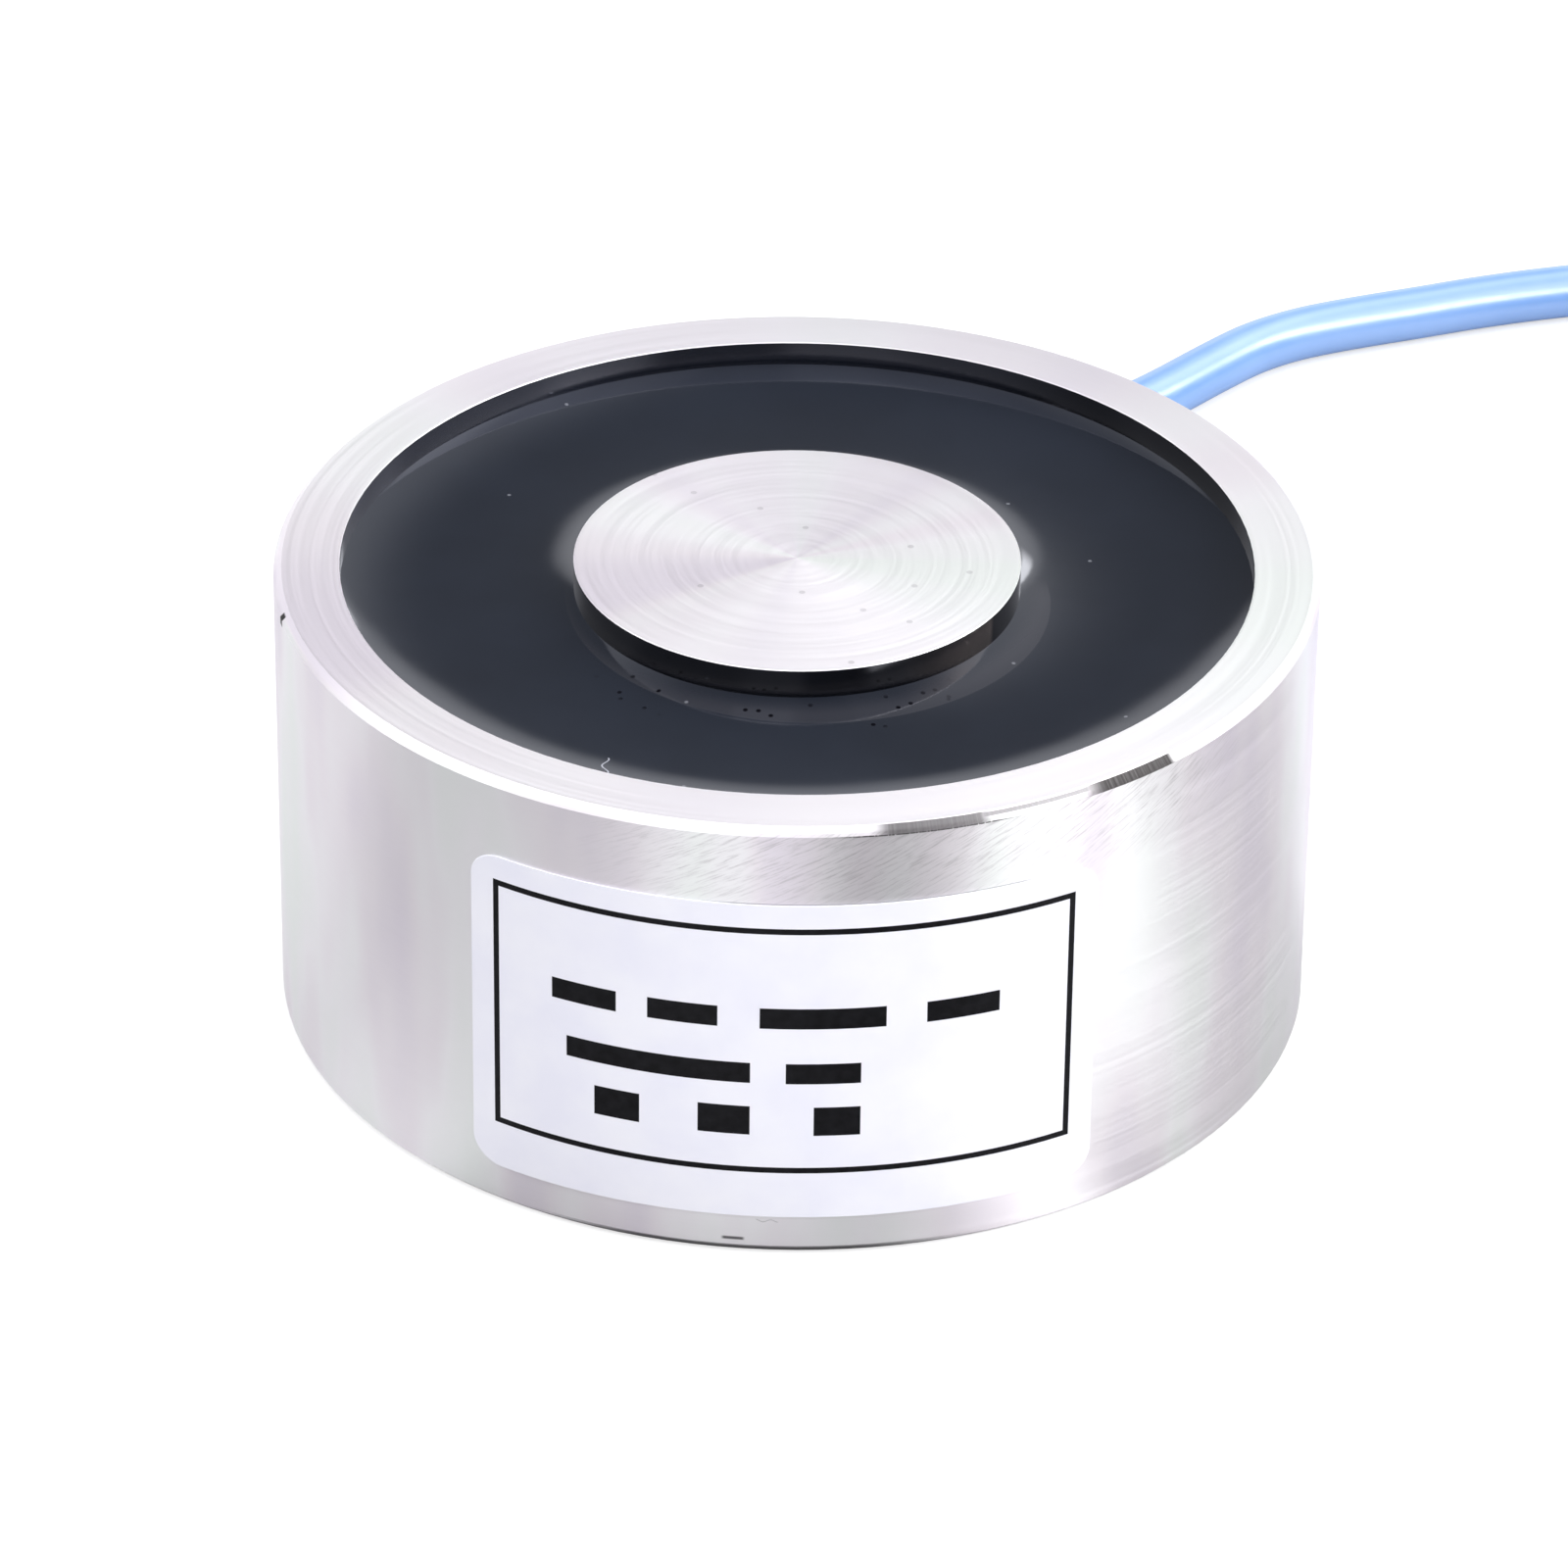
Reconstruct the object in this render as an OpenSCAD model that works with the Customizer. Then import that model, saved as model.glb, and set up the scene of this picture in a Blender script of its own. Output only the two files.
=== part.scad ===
// Holding electromagnet: a turned steel pot with a pole core, a potted winding and a flying lead.
// The origin is the centre of the mounting face, +Z leaves the pole face and -Y is the label's side.

/* [Pot shell] */
// Outside diameter of the shell
shell_d = 65; // [58:0.5:80]
// Height from the mounting face to the pole face
shell_h = 30; // [26:0.5:45]
// Width of the rim at the pole face
rim_w = 4.1; // [3:0.1:6]
// Thickness of the shell's floor
floor_t = 5; // [4:0.1:6]
// Chamfer on the rim's outer edge
rim_chamfer = 0.5; // [0.2:0.05:1]
// Chamfer on the rim's inner edge
lip_chamfer = 0.05; // [0.02:0.01:0.4]
// Chamfer round the foot
foot_chamfer = 0.35; // [0.1:0.05:1]

/* [Pole core] */
// Diameter of the core
core_d = 27.8; // [24:0.1:32]
// Chamfer round the core's pole face
core_chamfer = 0.05; // [0.02:0.01:0.4]
// Diameter of the spigot that is pressed into the shell's floor
spigot_d = 18; // [14:0.1:22]
// Chamfer round the spigot's end
spigot_chamfer = 0.4; // [0.1:0.05:0.8]

/* [Mounting thread] */
// Diameter of the tapped hole, over the thread
thread_d = 8; // [5:0.5:10]
// Depth of the thread
thread_depth = 12; // [8:0.5:15]
// Countersink at the mouth of the thread
thread_chamfer = 0.7; // [0.3:0.1:1.2]
// Diameter of the tapping drill
drill_d = 6.8; // [4:0.1:8.5]
// Depth of the drilled hole's straight wall
drill_depth = 15; // [10:0.5:18]
// Point angle of the drill
drill_angle = 118; // [90:1:140]

/* [Bobbin and winding] */
// Wall of the bobbin's barrel
barrel_t = 1; // [0.6:0.1:1.6]
// Thickness of the bobbin's flanges
flange_t = 1.2; // [0.8:0.1:2]
// Fillet between the barrel and its flanges
flange_fillet = 0.4; // [0.2:0.05:0.6]
// Room between the core and the bobbin
bobbin_clear = 0.1; // [0.05:0.01:0.3]
// Room between the flanges and the shell
flange_clear = 0.8; // [0.3:0.1:1.2]
// Depth of the upper flange below the pole face
bobbin_drop = 4.5; // [3.5:0.1:7]
// Room between the tape round the winding and the shell, for the splices
splice_room = 3.75; // [3.4:0.05:5]
// Thickness of the tape round the winding
tape_t = 0.25; // [0.1:0.05:0.5]

/* [Potting] */
// Depth of the resin's level below the pole face
resin_drop = 2.7; // [1.5:0.1:3.5]
// Height that the resin climbs at the core
core_climb_h = 0.8; // [0.2:0.05:1.2]
// Distance over which the climb at the core dies away
core_climb_l = 2.5; // [0.8:0.1:3.5]
// Height that the resin climbs at the rim
rim_climb_h = 1.1; // [0.2:0.05:1.4]
// Distance over which the climb at the rim dies away
rim_climb_l = 3.2; // [0.8:0.1:4]
// Depth of the resin's plug inside the mouth of the lead hole
plug_inset = 0.6; // [0.3:0.1:1.5]

/* [Lead] */
// Diameter of the lead's jacket
lead_d = 3.8; // [3:0.1:4.4]
// Height of the lead hole above the mounting face
lead_z = 8.6; // [8.4:0.1:11]
// Direction of the lead hole, counted from +X
lead_azimuth = 80; // [75:1:85]
// Room round the jacket in the lead hole
lead_clear = 0.35; // [0.2:0.05:0.5]
// Length of jacket that stands inside the shell's wall
jacket_inside = 0.4; // [0.2:0.1:0.8]
// Diameter of the lead's two inner wires
wire_d = 1.3; // [0.8:0.1:1.5]
// Distance between the two wires' centres at the jacket's end
wire_pitch = 1.45; // [1.3:0.05:1.8]
// Diameter of the winding's wire
magnet_wire_d = 0.4; // [0.2:0.05:0.6]
// Diameter of the sleeves over the splices
splice_d = 2.1; // [1.6:0.1:2.4]
// Length of each inner wire before its splice
wire_run = 5; // [3:0.5:8]
// Length of each splice sleeve
splice_run = 9; // [6:0.5:12]
// Length of each winding end beyond its splice
tail_run = 4; // [2:0.5:6]
// Room between a wire and what it runs up to or lies in
wire_clear = 0.1; // [0.05:0.01:0.15]

/* [Lead's far end] */
// Radius of the coil's outer turn
coil_turn_r = 22.5; // [20:0.5:24]
// Direction in which the jacket ends, seen from the coil's middle
jacket_end_angle = 286; // [280:1:300]
// Length of each bared wire
end_wire_run = 20; // [12:1:22]
// Length of each tinned tip
tip_run = 6; // [4:0.5:8]
// Diameter of each tinned tip
tip_d = 0.9; // [0.6:0.1:1.2]
// Width of the tie
tie_w = 3; // [2:0.5:4]
// Thickness of the tie
tie_t = 0.5; // [0.3:0.1:0.6]
// Room between the tie and the coil
tie_clear = 0.1; // [0.1:0.05:0.2]
// Length of the tie's twisted ends
tie_twist_l = 9; // [6:0.5:12]
// Thickness of the tie's twisted ends
tie_twist_d = 1.5; // [1:0.1:2]

/* [Label] */
// Length of the label round the shell
label_l = 40; // [30:0.2:50]
// Height of the label
label_h = 22.1; // [16:0.1:24]
// Height of the label's lower edge above the mounting face
label_z = 2.7; // [1:0.1:6]
// Turn of the label's middle from the front
label_turn = -1.2; // [-10:0.1:10]
// Radius of the label's corners
label_corner = 1.8; // [0.5:0.1:3]
// Thickness of the label
label_t = 0.12; // [0.05:0.01:0.3]

/* [Hidden] */
$fn = 96;

// How far a cutting tool runs past the face that it cuts
overcut = 1;

steel = [0.86, 0.85, 0.86];
nylon = [0.92, 0.9, 0.84];
copper = [0.72, 0.36, 0.16];
tape_yellow = [0.85, 0.7, 0.2];
resin_black = [0.06, 0.065, 0.08];
label_white = [0.93, 0.92, 0.97];
lead_blue = [0.45, 0.68, 0.95];
wire_red = [0.75, 0.1, 0.1];
wire_black = [0.1, 0.1, 0.1];
tinned = [0.8, 0.8, 0.8];

// Steel pieces
shell_r = shell_d / 2;
pocket_r = shell_r - rim_w;
core_r = core_d / 2;
spigot_r = spigot_d / 2;
thread_r = thread_d / 2;
drill_r = drill_d / 2;
drill_point = drill_r / tan(drill_angle / 2);

// Bobbin and winding, from the core outwards
barrel_in_r = core_r + bobbin_clear;
barrel_r = barrel_in_r + barrel_t;
flange_r = pocket_r - flange_clear;
bobbin_top = shell_h - bobbin_drop;
winding_low = floor_t + flange_t;
winding_high = bobbin_top - flange_t;
tape_r = pocket_r - splice_room;
winding_r = tape_r - tape_t;

// The splices lie in the ring between the winding and the shell, below the tape
ring_r = (tape_r + pocket_r) / 2;
tape_low = lead_z + splice_d / 2 + tape_t;
jacket_in_r = pocket_r - jacket_inside;
lead_hole_d = lead_d + 2 * lead_clear;
corner_angle = asin(wire_pitch / 2 / ring_r);
splice_from = corner_angle + arc_angle(wire_run);
splice_to = splice_from + arc_angle(splice_run);
tail_to = splice_to + arc_angle(tail_run);

// The resin's surface, in rings from the rim to the core, closer together at the walls
resin_rings = 24;
resin_z = shell_h - resin_drop;

// Label
label_half_angle = label_l / 2 / shell_r * 180 / PI;
label_half_w = shell_r * sin(label_half_angle);

// The lead lies on the standing surface, and its coil a tie's thickness above it
lie_z = lead_d / 2;
coil_low = tie_t + tie_clear;
coil_z = coil_low + lead_d / 2;
coil_x = 83;
coil_y = 70;
turn_gap = 0.2;
turn_pitch = lead_d + turn_gap;
inner_turn_r = coil_turn_r - turn_pitch;
coil_in_r = inner_turn_r - lead_d / 2;
coil_out_r = coil_turn_r + lead_d / 2;
coil_gap_r = coil_turn_r - lead_d / 2 - tie_clear;

// The lead's route, from the jacket's end inside the wall to the start of its coil
straight_out = 5;
lead_route = [
    polar(jacket_in_r), polar(shell_r), polar(shell_r + straight_out),
    [7.8, 43.5, 7.6], [9.5, 49.5, 5.6], [11.8, 55.2, 3.6], [14.7, 60.6, 2.3], [18.2, 65.4, lie_z],
    [22.2, 69.9, lie_z], [26.2, 74, lie_z], [30, 78.2, lie_z], [33, 81.2, lie_z],
    [36.2, 83.35, lie_z], [40, 85.05, lie_z], [45, 86.9, lie_z], [50, 88.75, lie_z],
    [55.5, 90.4, lie_z], [62, 91.8, 2], [69, 92.4, 2.3], [76, coil_y + coil_turn_r, coil_z],
    [coil_x, coil_y + coil_turn_r, coil_z]
];

// The bared wires curl into the coil's middle and down to the surface
end_turn = 62;
end_close_r = coil_in_r - wire_d * 2;
end_wire_angle = 180 / PI * end_wire_run / (inner_turn_r + end_close_r) * 2;
tip_angle = 180 / PI * tip_run / end_close_r;
end_clear_angle = 180 / PI * wire_clear / end_close_r * 2;
wire_room_angle = 50;

function arc_angle(run) = 180 / PI * run / ring_r;

function polar(r) = [r * cos(lead_azimuth), r * sin(lead_azimuth), lead_z];

// A point at lead height, at an angle to one side of the lead hole
function on_ring(side, angle, r = ring_r) =
    [r * cos(lead_azimuth + side * angle), r * sin(lead_azimuth + side * angle), lead_z];

function ring_route(side, from, to, steps = 4) = [
    for (i = [0:steps]) on_ring(side, from + (to - from) * i / steps)
];

// Where an inner wire leaves the jacket
function jacket_end(side, r) = polar(r)
    + side * wire_pitch / 2 * [-sin(lead_azimuth), cos(lead_azimuth), 0];

// Level of the resin at a distance r from the axis
function resin_level(r) = resin_z
    + core_climb_h * exp((core_r - r) / core_climb_l)
    + rim_climb_h * exp((r - pocket_r) / rim_climb_l);

function resin_ring_r(i) = (pocket_r + core_r) / 2
    + (pocket_r - core_r) / 2 * cos(180 * i / resin_rings);

// A point on a bared wire, at an angle past the jacket's end; side is -1 or 1
function end_point(side, turn) = let(
    share = min(turn / end_turn, 1),
    ease = share * share * (3 - 2 * share),
    r = inner_turn_r + (end_close_r - inner_turn_r) * ease + side * wire_pitch / 2,
    around = jacket_end_angle - turn
) [
    coil_x + r * cos(around),
    coil_y + r * sin(around),
    coil_z + (wire_d / 2 - coil_z) * ease
];

function end_route(side, from, to, steps) = [
    for (i = [0:steps]) end_point(side, from + (to - from) * i / steps)
];

function unit(v) = v / norm(v);

// Direction of a route at one of its points
function heading(route, i) = unit(route[min(i + 1, len(route) - 1)] - route[max(i - 1, 0)]);

// One ring of points around a route, with its first side level
function ring(route, i, d, sides) = let(
    along = heading(route, i),
    across = unit(cross(along, [0, 0, 1])),
    up = cross(across, along)
) [
    for (k = [0:sides - 1])
        route[i] + d / 2 * (cos(360 * k / sides) * across + sin(360 * k / sides) * up)
];

// A round tube along a route, closed at both ends
module tube_along(route, d, sides = 8) {
    last = len(route) - 1;
    points = [for (i = [0:last]) each ring(route, i, d, sides)];
    walls = [
        for (i = [0:last - 1], k = [0:sides - 1])
            let(next = (k + 1) % sides)
                each [
                    [i * sides + k, (i + 1) * sides + k, (i + 1) * sides + next],
                    [i * sides + k, (i + 1) * sides + next, i * sides + next]
                ]
    ];
    start = [[for (k = [0:sides - 1]) k]];
    end = [[for (k = [sides - 1:-1:0]) last * sides + k]];
    polyhedron(points = points, faces = concat(walls, start, end));
}

// Puts a cylinder on the lead hole's axis, between two distances from the shell's axis
module on_lead_axis(from, to, d) {
    rotate([0, 0, lead_azimuth])
        translate([from, 0, lead_z])
            rotate([0, 90, 0])
                cylinder(d = d, h = to - from);
}

// A round sleeve bent along the ring between the winding and the shell
module ring_arc(side, from, to, d) {
    rotate([0, 0, lead_azimuth + (side > 0 ? from : -to)])
        translate([0, 0, lead_z])
            rotate_extrude(angle = to - from)
                translate([ring_r, 0])
                    circle(d = d);
}

// An inner wire: straight out of the jacket, then round the ring up to its splice
module inner_wire(side, d = wire_d, gap = wire_clear) {
    tube_along(
        concat(
            [jacket_end(side, jacket_in_r - gap)],
            ring_route(side, corner_angle, splice_from - arc_angle(gap))
        ),
        d
    );
}

// One end of the winding's wire: from its splice round the ring, then in to the winding
module winding_end(side, d = magnet_wire_d, gap = wire_clear) {
    tube_along(
        concat(
            ring_route(side, splice_to + arc_angle(gap), tail_to),
            [on_ring(side, tail_to, winding_r + gap)]
        ),
        d
    );
}

module pot_shell() {
    color(steel)
        difference() {
            rotate_extrude()
                polygon([
                    [spigot_r, 0],
                    [shell_r - foot_chamfer, 0],
                    [shell_r, foot_chamfer],
                    [shell_r, shell_h - rim_chamfer],
                    [shell_r - rim_chamfer, shell_h],
                    [pocket_r + lip_chamfer, shell_h],
                    [pocket_r, shell_h - lip_chamfer],
                    [pocket_r, floor_t],
                    [spigot_r, floor_t]
                ]);
            on_lead_axis(pocket_r - overcut, shell_r + overcut, lead_hole_d);
        }
}

// The core, its spigot and the tapped hole are one revolved outline
module pole_core() {
    color(steel)
        rotate_extrude()
            polygon([
                [thread_r + thread_chamfer, 0],
                [spigot_r - spigot_chamfer, 0],
                [spigot_r, spigot_chamfer],
                [spigot_r, floor_t],
                [core_r, floor_t],
                [core_r, shell_h - core_chamfer],
                [core_r - core_chamfer, shell_h],
                [0, shell_h],
                [0, drill_depth + drill_point],
                [drill_r, drill_depth],
                [drill_r, thread_depth],
                [thread_r, thread_depth],
                [thread_r, thread_chamfer]
            ]);
}

module bobbin() {
    color(nylon)
        rotate_extrude()
            difference() {
                translate([barrel_in_r, floor_t])
                    square([flange_r - barrel_in_r, bobbin_top - floor_t]);
                winding_window();
                translate([winding_r, winding_low])
                    square([flange_r - winding_r + overcut, winding_high - winding_low]);
            }
}

// The space between barrel and flanges that the winding fills, with its filleted inner corners
module winding_window() {
    translate([barrel_r + flange_fillet, winding_low])
        square([winding_r - barrel_r - flange_fillet, winding_high - winding_low]);
    translate([barrel_r, winding_low + flange_fillet])
        square([flange_fillet + overcut, winding_high - winding_low - 2 * flange_fillet]);
    for (z = [winding_low + flange_fillet, winding_high - flange_fillet])
        translate([barrel_r + flange_fillet, z])
            circle(r = flange_fillet);
}

module coil_winding() {
    color(copper)
        rotate_extrude()
            winding_window();
}

module winding_tape() {
    color(tape_yellow)
        rotate_extrude()
            translate([winding_r, tape_low])
                square([tape_t, winding_high - tape_low]);
}

module start_tail() {
    color(copper)
        winding_end(1);
}

module finish_tail() {
    color(copper)
        winding_end(-1);
}

module start_splice() {
    color(wire_black)
        ring_arc(1, splice_from, splice_to, splice_d);
}

module finish_splice() {
    color(wire_black)
        ring_arc(-1, splice_from, splice_to, splice_d);
}

module start_wire() {
    color(wire_red)
        inner_wire(1);
}

module finish_wire() {
    color(wire_black)
        inner_wire(-1);
}

// One casting: it fills the pocket above and around the bobbin and seals the lead hole
module potting_resin() {
    surface = [for (i = [0:resin_rings]) [resin_ring_r(i), resin_level(resin_ring_r(i))]];
    color(resin_black)
        difference() {
            union() {
                rotate_extrude()
                    polygon(concat([[pocket_r, floor_t]], surface, [
                        [core_r, bobbin_top],
                        [flange_r, bobbin_top],
                        [flange_r, winding_high],
                        [tape_r, winding_high],
                        [tape_r, tape_low],
                        [winding_r, tape_low],
                        [winding_r, winding_low],
                        [flange_r, winding_low],
                        [flange_r, floor_t]
                    ]));
                on_lead_axis(ring_r, shell_r - plug_inset, lead_hole_d);
            }
            on_lead_axis(jacket_in_r, shell_r + overcut, lead_d + wire_clear);
            for (side = [-1, 1]) {
                inner_wire(side, wire_d + 2 * wire_clear, -wire_d / 2);
                ring_arc(side, splice_from, splice_to, splice_d);
                winding_end(side, magnet_wire_d + 2 * wire_clear, -magnet_wire_d / 2);
            }
        }
}

// A skin on the shell, cut to a rectangle with round corners
module rating_label() {
    color(label_white)
        rotate([0, 0, label_turn])
            intersection() {
                difference() {
                    cylinder(r = shell_r + label_t, h = shell_h);
                    cylinder(r = shell_r, h = shell_h);
                }
                translate([0, 0, label_z + label_h / 2])
                    rotate([90, 0, 0])
                        linear_extrude(shell_r + overcut)
                            label_outline();
            }
}

module label_outline() {
    inner_w = 2 * (label_half_w - label_corner);
    inner_h = label_h - 2 * label_corner;
    square([inner_w, label_h], center = true);
    square([2 * label_half_w, inner_h], center = true);
    for (x = [-1, 1], y = [-1, 1])
        translate([x * inner_w / 2, y * inner_h / 2])
            circle(r = label_corner);
}

module lead_run() {
    color(lead_blue)
        tube_along(lead_route, lead_d);
}

// The coil's turns as one ring, open where the lead comes in and where the jacket ends
module lead_coil() {
    color(lead_blue)
        translate([coil_x, coil_y, coil_low])
            difference() {
                rotate_extrude() {
                    translate([inner_turn_r, 0])
                        square([turn_pitch, lead_d]);
                    for (r = [inner_turn_r, coil_turn_r])
                        translate([r, lead_d / 2])
                            circle(d = lead_d);
                }
                translate([-coil_out_r, coil_gap_r, -overcut])
                    cube([coil_out_r, coil_out_r, lead_d + 2 * overcut]);
                rotate([0, 0, jacket_end_angle - wire_room_angle])
                    translate([0, 0, -overcut])
                        rotate_extrude(angle = wire_room_angle)
                            translate([coil_in_r - overcut, 0])
                                square([lead_d + overcut, lead_d + 2 * overcut]);
            }
}

// A flat band round the coil's turns, with its twisted ends lying on top
module lead_tie() {
    room_w = coil_out_r - coil_in_r + 2 * tie_clear;
    room_h = lead_d + 2 * tie_clear;
    color(wire_black)
        translate([coil_x + (coil_in_r + coil_out_r) / 2, coil_y + tie_w / 2, tie_t + room_h / 2]) {
            rotate([90, 0, 0])
                linear_extrude(tie_w)
                    difference() {
                        round_ended(room_w + 2 * tie_t, room_h + 2 * tie_t);
                        round_ended(room_w, room_h);
                    }
            translate([0, 0, room_h / 2 + tie_twist_d / 2 + tie_clear])
                rotate([90, 0, 0])
                    cylinder(d = tie_twist_d, h = tie_twist_l);
        }
}

module round_ended(w, h) {
    square([w - h, h], center = true);
    for (x = [-1, 1])
        translate([x * (w - h) / 2, 0])
            circle(d = h);
}

module end_wire_1() {
    color(wire_red)
        tube_along(end_route(-1, end_clear_angle, end_wire_angle, 8), wire_d);
}

module end_wire_2() {
    color(wire_black)
        tube_along(end_route(1, end_clear_angle, end_wire_angle, 8), wire_d);
}

module tinned_tip_1() {
    color(tinned)
        tube_along(end_route(-1, end_wire_angle + end_clear_angle, end_wire_angle + tip_angle, 4), tip_d);
}

module tinned_tip_2() {
    color(tinned)
        tube_along(end_route(1, end_wire_angle + end_clear_angle, end_wire_angle + tip_angle, 4), tip_d);
}

pot_shell();
pole_core();
bobbin();
coil_winding();
winding_tape();
start_tail();
finish_tail();
start_splice();
finish_splice();
start_wire();
finish_wire();
potting_resin();
rating_label();
lead_run();
lead_coil();
lead_tie();
end_wire_1();
end_wire_2();
tinned_tip_1();
tinned_tip_2();
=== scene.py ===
"""Round holding electromagnet: camera, studio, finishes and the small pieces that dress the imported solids."""

import math

import bpy
from mathutils import Matrix, Vector


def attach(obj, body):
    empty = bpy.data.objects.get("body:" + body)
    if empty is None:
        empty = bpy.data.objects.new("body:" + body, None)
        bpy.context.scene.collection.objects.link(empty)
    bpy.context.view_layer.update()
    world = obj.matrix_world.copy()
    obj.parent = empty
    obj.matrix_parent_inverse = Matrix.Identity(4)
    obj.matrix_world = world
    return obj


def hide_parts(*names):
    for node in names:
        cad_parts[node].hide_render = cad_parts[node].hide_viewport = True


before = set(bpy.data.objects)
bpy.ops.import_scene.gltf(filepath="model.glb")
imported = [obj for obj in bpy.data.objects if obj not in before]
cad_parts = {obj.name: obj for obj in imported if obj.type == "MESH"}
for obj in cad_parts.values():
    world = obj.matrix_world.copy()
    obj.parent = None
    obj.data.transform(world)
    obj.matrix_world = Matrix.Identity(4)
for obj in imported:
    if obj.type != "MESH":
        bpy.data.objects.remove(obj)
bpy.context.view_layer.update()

# The photograph's camera
PHOTO_SIDE = 1600
FOCAL_PX = 8419
SENSOR_W_MM = 36.0
CAMERA_RISE = math.radians(31.09)
CAMERA_ROLL = 0.0117
CAMERA_DISTANCE = 0.52
AIM_RIGHT = -0.00066
AIM_UP = -0.00121

# The studio's levels of light
ROOM_LEVEL = 0.77
LEFT_WING_LEVEL, RIGHT_WING_LEVEL = 0.42, 0.88
HORIZON_LEVEL = 0.6
BACK_WALL_LEVEL = 0.24
CEILING_LEVEL, ZENITH_SHARE = 1.55, 0.3
WINDOW_LEVEL = 5.0

# Wedges about the magnet: azimuth from the camera's side to the right, outer and inner half angle, in degrees
BACK_WALL = (180, 41, 21)
LEFT_WING, RIGHT_WING = (-108, 34, 12), (138, 42, 15)
HORIZON, WINDOW = (180, 52, 28), (160, 10, 6)
# Painted shade towards the back of the pole faces and painted light towards their front
FACE_PAINTED_SHADE_BACK, FACE_PAINTED_LIGHT_FRONT = (180, 70, 20), (0, 60, 15)
# Wedges of painted shadow and painted light in the floor's colour
NEAR_FRONT, NEAR_RIGHT = (-8, 40, 20), (70, 40, 24)
LIT_SIDE, FAR_LEFT = (46, 26, 12), (-105, 45, 20)

# Dimmer wedges of the room and the floor, each with the share of light that it keeps
FRONT_SHADES = [((20, 22, 8), 0.30), ((-56, 40, 14), 0.60), ((88, 34, 12), 0.50)]

# Heights in the room, as the sine of the elevation: from, to and, for a band, its softness
BACK_WALL_Z, WING_Z, WINDOW_Z = (0.44, 0.78, 0.07), (0.42, 0.78, 0.10), (0.335, 0.37, 0.015)
HORIZON_FADE = (0.34, 0.42)
CEILING_RISE, ZENITH_FADE = (0.40, 0.88), (0.85, 0.97)

# The floor, in metres, and its glow for the camera
FLOOR_HALF, FLOOR_DROP = 6.0, 0.00002
FLOOR_GLOW = 0.6

# The lamps: azimuth, elevation, distance, width, height and strength
LAMPS = {
    "lead_panel": (70, 33, 1.0, 1.15, 0.27, 7.2),
    "front_fill": (-20, 42, 1.2, 0.50, 0.50, 1.0),
}

# The magnet's sizes, in metres
SHELL_R, SHELL_H = 0.0325, 0.03
POCKET_R, POT_FLOOR_Z = 0.0284, 0.005
CORE_R, SPIGOT_R = 0.0139, 0.009
COLLAR_CENTRE, COLLAR_R = (0.0007, -0.0011, 0.0276), 0.01503
CENTRE = Vector((0.0, 0.0, SHELL_H / 2))
RIM_CHAMFER = 0.0005
THREAD_R, THREAD_MINOR_R, THREAD_SINK = 0.004, 0.00335, 0.00003
THREAD_PITCH, THREAD_DEPTH = 0.00125, 0.012

# The thread's ridge, in pitches: its start, what it leaves of the depth, half its foot and half its crest
THREAD_START, THREAD_LEFT_OUT, THREAD_FOOT, THREAD_CREST = 0.9, 1.2, 0.48, 0.1

# Steps in a turn of the ridge, and how many times its rise at an end goes into its length
THREAD_STEPS, THREAD_RUN_OUT = 36, 20

# Lathe rings: steps round the axis, steps per metre across and depth in metres
RINGS_AROUND, RINGS_ACROSS, RING_DEPTH = 0.8, 5200.0, 0.000003

# The brushed strip's grain: slope, and steps per metre along and across
BRUSHED_SLANT, BRUSHED_ALONG, BRUSHED_ACROSS = 0.5, 500.0, 6000.0

# Walls above the resin, painted dark partly for a film of resin and partly as painted shade, and the angles
# where the shell's is lighter with painted reflection and darker with painted shade
PLAIN_WALL_ROUGHNESS = 0.14
WETTED_WALL_PAINTED_SHADE = (0.26, 0.26, 0.29, 1.0)
WALL_PAINTED_LIGHT = (0.54, 0.54, 0.60, 1.0)
WETTED_WALL_PAINTED_DARK = (0.12, 0.12, 0.13, 1.0)
WALL_PAINTED_LIGHT_ANGLE, WALL_PAINTED_DARK_ANGLE = (-2.5, -1.9, 0.4), (1.5, 2.4, 0.4)

# Spots: cells per metre, a spot's size in its cell, and the share of cells that have one
SPECKS, PITS, DUST = (300.0, 0.05, 0.3), (1300.0, 0.16, 0.16), (600.0, 0.06, 0.02)

# Marks: angles from the front to the right in radians, places in metres, as from, to and a band's softness
BRUSHED_ANGLE, BRUSHED_RISE = (-0.15, 0.75, 0.3), (0.0225, 0.0275)
GREY_RUB, BLACK_RUB, THIN_RUB = (0.18, 0.34, 0.05), (0.61, 0.79, 0.10), (0.30, 0.66, 0.05)
THIN_RUB_Z = (SHELL_H - 0.00025, SHELL_H - 0.0001, 0.00005)
RUB_STOP = (0.762, 0.782)
CHAMFER_FOOT = SHELL_H - RIM_CHAMFER
CHAMFER_LINE, CHAMFER_LINE_Z = (0.13, 0.36, 0.08), (CHAMFER_FOOT - 0.00006, CHAMFER_FOOT, 0.00003)
# Angles of the brown painted reflection on the core's wall
PAINTED_REFLECTION_RISE, PAINTED_REFLECTION_FALL = (0.45, 0.95), (1.02, 1.06)
PITTED_R, PITTED_ANGLE = (0.0148, 0.0168, 0.0008), (-0.6, 0.4, 0.4)
COLLAR_ANGLE = (-1.5, 1.55, 0.15)
HAIR_X, HAIR_HALF_W, HAIR_Y = -0.0114, 0.00003, (-0.0225, -0.0204, 0.0001)

# How dark the marks on the chamfer are, as a share
GREY_RUB_SHADE, THIN_RUB_SHADE, CHAMFER_LINE_SHADE = 0.86, 0.75, 0.9

# Waves of the hair, in radians per metre, and of the scratch, per radian round the shell, and their sway
HAIR_WAVES, HAIR_SWAY = 3600.0, 0.0002
SCRATCH_WAVES, SCRATCH_SWAY = 220.0, 0.00008
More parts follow.
